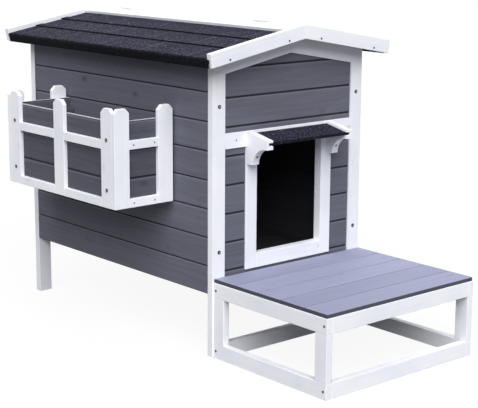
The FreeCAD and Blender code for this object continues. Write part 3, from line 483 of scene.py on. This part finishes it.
def mineral_felt(name, ridge, reach, exposure, tab):
    """Bitumen felt faced with crushed slate. The eye sees charcoal with pale and dark grit and a few
    bright flecks, and on the roof faint pale joints between tabs. Painted shade darkens the faces that
    look sideways or down, as on cut edges and the rolled eave, and a narrow band just below each lap's
    edge. The grit is drawn at 2 mm, about twice its size, so that it shows."""
    finish = bpy.data.materials.new(name)
    finish.use_nodes = True
    tree = finish.node_tree
    shader = tree.nodes["Principled BSDF"]
    spots = add(tree, "ShaderNodeTexCoord")
    place = spots["Object"]
    grit_size, cloud_size, joint_width = 0.002, 0.05, 0.0045
    grit = add(tree, "ShaderNodeTexVoronoi", {"Vector": place, "Scale": 1 / grit_size})
    grit_tone = add(tree, "ShaderNodeSeparateColor", {0: grit["Color"]})[0]
    pale = add(tree, "ShaderNodeMapRange", {"Value": grit_tone, "From Min": 0.5, "From Max": 1.0})[0]
    slate = add(tree, "ShaderNodeMix", {0: pale, 6: linear("#1A1A25"), 7: linear("#3D3E54")},
                data_type="RGBA")[2]
    fleck = add(tree, "ShaderNodeMath", {0: grit_tone, 1: 0.94}, operation="GREATER_THAN")[0]
    flecked = add(tree, "ShaderNodeMix", {0: fleck, 6: slate, 7: linear("#6C6D82")}, data_type="RGBA")[2]
    cloud = add(tree, "ShaderNodeTexNoise", {"Vector": place, "Scale": 1 / cloud_size, "Detail": 4})[0]
    cloud_share = add(tree, "ShaderNodeMapRange", {"Value": cloud, "From Min": 0.35, "From Max": 0.65,
                                                   "To Min": 0.9, "To Max": 1.08})[0]
    axes = add(tree, "ShaderNodeSeparateXYZ", {0: place})
    from_ridge = add(tree, "ShaderNodeMath", {0: axes[0], 1: ridge}, operation="SUBTRACT")[0]
    down = add(tree, "ShaderNodeMath", {0: from_ridge}, operation="ABSOLUTE")[0]
    up = add(tree, "ShaderNodeMath", {0: reach, 1: down}, operation="SUBTRACT")[0]
    in_courses = add(tree, "ShaderNodeMath", {0: up, 1: exposure}, operation="DIVIDE")[0]
    course = add(tree, "ShaderNodeMath", {0: in_courses}, operation="FLOOR")[0]
    stagger = add(tree, "ShaderNodeMath", {0: course, 1: 0.5}, operation="MULTIPLY")[0]
    in_tabs = add(tree, "ShaderNodeMath", {0: axes[1], 1: tab}, operation="DIVIDE")[0]
    tabs = add(tree, "ShaderNodeMath", {0: in_tabs, 1: stagger}, operation="ADD")[0]
    tab_number = add(tree, "ShaderNodeMath", {0: tabs}, operation="FLOOR")[0]
    tab_key = add(tree, "ShaderNodeCombineXYZ", {0: tab_number, 1: course})[0]
    own = add(tree, "ShaderNodeTexWhiteNoise", {"Vector": tab_key})["Value"]
    tab_tone = add(tree, "ShaderNodeMapRange", {"Value": own, "To Min": 0.86, "To Max": 1.1})[0]
    along_tab = add(tree, "ShaderNodeMath", {0: tabs}, operation="FRACT")[0]
    joint = add(tree, "ShaderNodeMath", {0: along_tab, 1: joint_width / tab}, operation="LESS_THAN")[0]
    joint_share = add(tree, "ShaderNodeMath", {0: joint, 1: 0.6}, operation="MULTIPLY")[0]
    jointed = add(tree, "ShaderNodeMix", {0: joint_share, 6: flecked, 7: linear("#5C5D70")},
                  data_type="RGBA")[2]
    # Painted shade: a narrow band just below each lap's edge is darkened.
    up_course = add(tree, "ShaderNodeMath", {0: in_courses}, operation="FRACT")[0]
    lap_start, lap_end = 1 - 0.009 / exposure, 1 - 0.004 / exposure
    lap_shade = add(tree, "ShaderNodeMapRange", {"Value": up_course, "From Min": lap_start,
                                                "From Max": lap_end, "To Min": 1, "To Max": 0.35})[0]
    tone = add(tree, "ShaderNodeMath", {0: cloud_share, 1: tab_tone}, operation="MULTIPLY")[0]
    lapped = add(tree, "ShaderNodeMath", {0: tone, 1: lap_shade}, operation="MULTIPLY")[0]
    # Painted shade: faces that look sideways or down are darkened.
    facing = add(tree, "ShaderNodeSeparateXYZ", {0: spots["Normal"]})[2]
    facing_shade = add(tree, "ShaderNodeMapRange", {"Value": facing, "From Min": -0.15, "From Max": 0.95,
                                               "To Min": 0.32, "To Max": 1.0})[0]
    shaded_tone = add(tree, "ShaderNodeMath", {0: lapped, 1: facing_shade}, operation="MULTIPLY")[0]
    colour = add(tree, "ShaderNodeVectorMath", {0: jointed, "Scale": shaded_tone}, operation="SCALE")[0]
    relief = add(tree, "ShaderNodeBump", {"Height": grit["Distance"], "Strength": 0.6, "Distance": 0.0008},
                 invert=True)[0]
    tree.links.new(colour, shader.inputs["Base Color"])
    tree.links.new(relief, shader.inputs["Normal"])
    shader.inputs["Roughness"].default_value = 0.95
    shader.inputs["Specular IOR Level"].default_value = 0.12
    return finish


# The canopy's felt is one sheet, so the course and the tab that it is cut from are far longer than it.
UNCUT = 10.0
canopy_grit = mineral_felt("slate_faced_felt_canopy", 0.0, UNCUT / 2, UNCUT, UNCUT)
smoothed(dressed("canopy_felt", SQUARE_EASE, canopy_grit))

# Roof: two ply panels on the rafters. The left one is fixed, the right one is the hinged lid.
# Each has three lapped courses of felt, rolled over the eave, a white cap along the ridge, and at each
# end a barge board that is nailed through its face into the panel's edge.
RIDGE_X = sum(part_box("hinge_pins")[side][0] for side in (0, 1)) / 2
SLOPE_REACH, FELT_COURSE, FELT_TAB, FELT_ROLL = 0.290, 0.0862, 0.180, 0.007
level_course = FELT_COURSE * math.cos(math.radians(ROOF_PITCH))
roof_grit = mineral_felt("slate_faced_felt_roof", RIDGE_X, SLOPE_REACH, level_course, FELT_TAB)
panel_stain = stained_pine("grey_stained_ply_panel", 1, 0, 0.0, UNCUT, UNDER_DARK, UNDER_LIGHT, knots=0.0)
ridge_paint = painted_pine("white_painted_pine_ridge", 1)
for side, slope_paint, eave in (
    ("left", left_slope_paint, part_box("left_roof_felt")[0][0]),
    ("right", right_slope_paint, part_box("right_roof_felt")[1][0]),
):
    smoothed(dressed(f"{side}_roof_board", SQUARE_EASE, panel_stain))
    smoothed(dressed(f"{side}_roof_felt", SQUARE_EASE, roof_grit, FELT_ROLL, eave))
    smoothed(dressed(f"{side}_ridge_cap", PLANED_EASE, ridge_paint))
    for end in ("front", "back"):
        smoothed(dressed(f"{side}_{end}_barge", SANDED_EASE, slope_paint))
RIDGE_UNDER, NAIL_DROP, NAIL_OUTS, WIRE_NAIL_RADIUS = 0.7706, 0.0015, (0.053, 0.238), 0.0026
nail_steps = [(0.0008, 0.0002), (0.0008, 0.0001)]
nail = round_head("wire_nail", WIRE_NAIL_RADIUS, HEAD_RIM, nail_steps, [dark_steel])
for side, hand, body in (("left", -1, "house"), ("right", 1, "roof_lid")):
    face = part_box(f"{side}_front_barge")[0][1]
    barge_nails = []
    for out in NAIL_OUTS:
        height = RIDGE_UNDER - NAIL_DROP - out * math.tan(math.radians(ROOF_PITCH))
        barge_nails.append(((RIDGE_X + hand * out, face, height), (0, -1, 0)))
    set_out(nail, f"{side}_barge_nails", barge_nails, body)

# Ridge hinges: pressed steel butts let in between the two slopes, on steel pins.
# They are finished in white like the caps beside them, so that they hardly show.
LEAF_EASE = 0.0002
white_steel = plain_steel("white_coated_steel", "#EDEDF2", "#F6F6FA", 0.0)
for leaf in ("hinge_fixed_leaves", "hinge_lid_leaves", "hinge_pins"):
    smoothed(dressed(leaf, LEAF_EASE, white_steel))

# Planter: a box of thin grey boards in a white fence of pickets and rails, hung on the left wall by two
# battens in its inner corners. The short rails at its ends are nailed to the boards behind them.
for pickets in ("planter_front_pickets", "planter_end_pickets"):
    smoothed(dressed(pickets, SANDED_EASE, upright_paint))
smoothed(dressed("planter_front_rails", PLANED_EASE, ridge_paint))
smoothed(dressed("planter_end_rails", PLANED_EASE, cross_paint))
BOX_DARK, BOX_LIGHT = "#44454E", "#53545F"
box_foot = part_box("planter_front_boards")[0][2]
box_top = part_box("planter_front_boards")[1][2]
BOX_BOARDS, RIM_DEPTH = 3, 0.001
BOX_PITCH = (box_top - box_foot) / BOX_BOARDS
# The rim colour is a painted highlight along the top edges of the box's boards.
BOX_TOP_HIGHLIGHT = ("#BCBDC8", box_top - RIM_DEPTH)
box_front_stain = stained_pine(
    "grey_stained_pine_box_front", 1, 2, box_foot, BOX_PITCH, BOX_DARK, BOX_LIGHT, BOARD_GROOVE,
    rim=BOX_TOP_HIGHLIGHT,
)
box_end_stain = stained_pine(
    "grey_stained_pine_box_end", 0, 2, box_foot, BOX_PITCH, BOX_DARK, BOX_LIGHT, BOARD_GROOVE,
    rim=BOX_TOP_HIGHLIGHT,
)
box_floor_stain = stained_pine("grey_stained_pine_box_floor", 1, 0, 0.0, UNCUT, BOX_DARK, BOX_LIGHT)
batten_stain = stained_pine("grey_stained_pine_box_batten", 2, 0, 0.0, UNCUT, BOX_DARK, BOX_LIGHT)
smoothed(dressed("planter_front_boards", SAWN_EASE, box_front_stain))
smoothed(dressed("planter_end_boards", SAWN_EASE, box_end_stain))
smoothed(dressed("planter_floor", PLANED_EASE, box_floor_stain))
smoothed(dressed("planter_battens", PLANED_EASE, batten_stain))
low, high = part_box("planter_end_rails")
RAIL_WIDTH, END_INSET = 0.0213, 0.012
end_nails = []
for face, facing in ((low[1], -1), (high[1], 1)):
    for height in (low[2] + RAIL_WIDTH / 2, high[2] - RAIL_WIDTH / 2):
        for across in (low[0] + END_INSET, high[0] - END_INSET):
            end_nails.append(((across, face, height), (0, facing, 0)))
set_out(zinc_nail, "planter_rail_nails", end_nails, "house")

# Bolts: the posts' and the planter's flanged bolts of zinc plated steel, in holes through the timber.
# Each has a dark flange and domed head, a crown painted bright as a highlight, and a small socket for the
# driver.
# The bright zinc crown is a painted highlight.
bolt_finishes = [dark_steel, plain_steel("zinc_plated_steel_painted_highlight", "#A2A3A9", "#CBCCD1", 0.6)]
BOLT_FLANGE, FLANGE_THICK, BOLT_SHANK = 0.00475, 0.0009, 0.003
POST_GRIP, PICKET_GRIP = 0.034, 0.019
dome_steps = [(0.0012, 0.0), (0.0001, 0.0008), (0.0008, 0.0005), (0.0005, 0.0002)]
socket_steps = [(0.0011, 0.0), (0.0001, -0.0006)]
head_steps = dome_steps + socket_steps
low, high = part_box("post_bolts")
post_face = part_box("front_left_post")[0][1]
back_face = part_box("back_left_post")[1][1]
post_bolt = round_head(
    "post_bolt", BOLT_FLANGE, FLANGE_THICK, head_steps, bolt_finishes, (BOLT_SHANK, POST_GRIP)
)
post_spots = []
for face, facing in ((post_face, -1), (back_face, 1)):
    for across in (low[0] + BOLT_FLANGE, high[0] - BOLT_FLANGE):
        for height in (low[2] + BOLT_FLANGE, high[2] - BOLT_FLANGE):
            post_spots.append(((across, face, height), (0, facing, 0)))
post_bolts = set_out(post_bolt, "post_bolts_dressed", post_spots, "house")
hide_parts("post_bolts")
low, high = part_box("planter_bolts")
picket_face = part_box("planter_front_pickets")[0][0]
picket_bolt = round_head(
    "picket_bolt", BOLT_FLANGE, FLANGE_THICK, head_steps, bolt_finishes, (BOLT_SHANK, PICKET_GRIP)
)
picket_spots = []
for back in (low[1] + BOLT_FLANGE, high[1] - BOLT_FLANGE):
    for height in (low[2] + BOLT_FLANGE, high[2] - BOLT_FLANGE):
        picket_spots.append(((picket_face, back, height), (-1, 0, 0)))
planter_bolts = set_out(picket_bolt, "planter_bolts_dressed", picket_spots, "house")
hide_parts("planter_bolts")

# Porch: two side frames of painted pine joined by cross rails, with a deck of five boards on top.
# Dark screws through the side rails hold the cross rails, one at each end.
SCREW_INSET = 0.009
porch_screws = []
for side, face, facing in (("left", 0, -1), ("right", 1, 1)):
    for level in ("top", "bottom"):
        smoothed(dressed(f"porch_{side}_{level}_rail", SANDED_EASE, depth_paint))
        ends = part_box(f"porch_{side}_{level}_rail")
        height = (ends[0][2] + ends[1][2]) / 2
        for along in (ends[0][1] + SCREW_INSET, ends[1][1] - SCREW_INSET):
            porch_screws.append(((ends[face][0], along, height), (facing, 0, 0)))
smoothed(dressed("porch_legs", SANDED_EASE, upright_paint))
smoothed(dressed("porch_front_rails", SANDED_EASE, cross_paint))
smoothed(dressed("porch_rear_rails", SANDED_EASE, cross_paint))
set_out(screw, "porch_screws", porch_screws, "house")
# The deck's third colour is painted shade on the faces that look sideways.
DECK_DARK, DECK_LIGHT, DECK_SIDE_SHADE = "#9194AE", "#9C9FB9", "#464753"
DECK_BOARDS, DECK_GROOVE, DECK_KNOTS = 5, 0.0007, 0.12
deck_front, deck_back = (corner[1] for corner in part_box("deck_boards"))
deck_pitch = (deck_back - deck_front) / DECK_BOARDS
deck_stain = stained_pine(
    "blue_grey_stained_pine_deck", 0, 1, deck_front, deck_pitch, DECK_DARK, DECK_LIGHT, DECK_GROOVE,
    DECK_KNOTS, DECK_SIDE_SHADE,
)
smoothed(dressed("deck_boards", SQUARE_EASE, deck_stain))
for head in (zinc_nail, screw, nail, post_bolt, picket_bolt):
    bpy.data.objects.remove(head)

# Studio: a white floor that keeps a soft shadow, and a white world behind it.
# One high soft light stands at the front left, and a weaker, lower one behind at the right.


def backdrop_rays(tree):
    """Gives 1 for the rays that show the white backdrop: the camera's own, and those in gloss and glass."""
    rays = add(tree, "ShaderNodeLightPath")
    shown = add(tree, "ShaderNodeMath", {0: rays["Is Camera Ray"], 1: rays["Is Glossy Ray"]},
                operation="MAXIMUM")[0]
    return add(tree, "ShaderNodeMath", {0: shown, 1: rays["Is Transmission Ray"]}, operation="MAXIMUM")[0]


STUDIO_SIDE, STUDIO_GAP, SHADOW_SHARE, FILL_LEVEL = 24, 0.0005, 0.08, 0.16
bpy.ops.mesh.primitive_plane_add(size=STUDIO_SIDE, location=(0, 0, -STUDIO_GAP))
floor = bpy.context.object
floor.name = "studio_floor"
floor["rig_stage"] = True
paper = bpy.data.materials.new("white_paper_floor")
paper.use_nodes = True
tree = paper.node_tree
tree.nodes.clear()
sheet = add(tree, "ShaderNodeBsdfDiffuse", {"Color": linear("#F4F4F6")})[0]
glow = add(tree, "ShaderNodeEmission", {"Color": (1, 1, 1, 1), "Strength": 1.0})[0]
lit = add(tree, "ShaderNodeMixShader", {0: 1 - SHADOW_SHARE, 1: sheet, 2: glow})[0]
bounce = add(tree, "ShaderNodeBsdfDiffuse", {"Color": linear("#8A8A8C")})[0]
both = add(tree, "ShaderNodeMixShader", {0: backdrop_rays(tree), 1: bounce, 2: lit})[0]
add(tree, "ShaderNodeOutputMaterial", {"Surface": both})
floor.data.materials.append(paper)

world = bpy.data.worlds.new("white_studio")
bpy.context.scene.world = world
world.use_nodes = True
tree = world.node_tree
tree.nodes.clear()
fill = add(tree, "ShaderNodeBackground", {"Color": linear("#F3F4FF"), "Strength": FILL_LEVEL})[0]
white = add(tree, "ShaderNodeBackground", {"Color": (1, 1, 1, 1), "Strength": 1.0})[0]
both = add(tree, "ShaderNodeMixShader", {0: backdrop_rays(tree), 1: fill, 2: white})[0]
add(tree, "ShaderNodeOutputWorld", {"Surface": both})

for name, aim, strength, spread in (
    ("key_softlight", (0.44, 0.55, -0.71), 4.1, 55),
    ("back_softlight", (-0.66, -0.70, -0.27), 1.2, 60),
):
    lamp = bpy.data.lights.new(name, "SUN")
    lamp.energy = strength
    lamp.angle = math.radians(spread)
    light = bpy.data.objects.new(name, lamp)
    light.rotation_euler = Vector(aim).to_track_quat("-Z", "Y").to_euler()
    bpy.context.scene.collection.objects.link(light)

# Camera: it looks from the front left and a little above, at the photograph's viewing angle.
# Its place, turn and lens were solved from the straight edges of the house.
FRAME_WIDTH, FOCAL_PIXELS, RIGHT_PIXELS, UP_PIXELS = 478, 1334.1, 0.6, -1.1
SENSOR_WIDTH = 36
HEADING, DOWNWARD, LEAN = math.radians(-40.928), math.radians(12.120), math.radians(0.348)
lens = bpy.data.cameras.new("photo_camera")
lens.sensor_width = SENSOR_WIDTH
lens.lens = SENSOR_WIDTH * FOCAL_PIXELS / FRAME_WIDTH
lens.shift_x = RIGHT_PIXELS / FRAME_WIDTH
lens.shift_y = UP_PIXELS / FRAME_WIDTH
camera = bpy.data.objects.new("photo_camera", lens)
stand = Matrix.Translation((-2.1579, -2.5960, 1.0478))
turn = Matrix.Rotation(HEADING, 4, "Z")
tilt = Matrix.Rotation(math.radians(90) - DOWNWARD, 4, "X")
lean = Matrix.Rotation(LEAN, 4, "Z")
camera.matrix_world = stand @ turn @ tilt @ lean
bpy.context.scene.collection.objects.link(camera)
bpy.context.scene.camera = camera
bpy.context.scene.view_settings.view_transform = "Standard"

low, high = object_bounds()
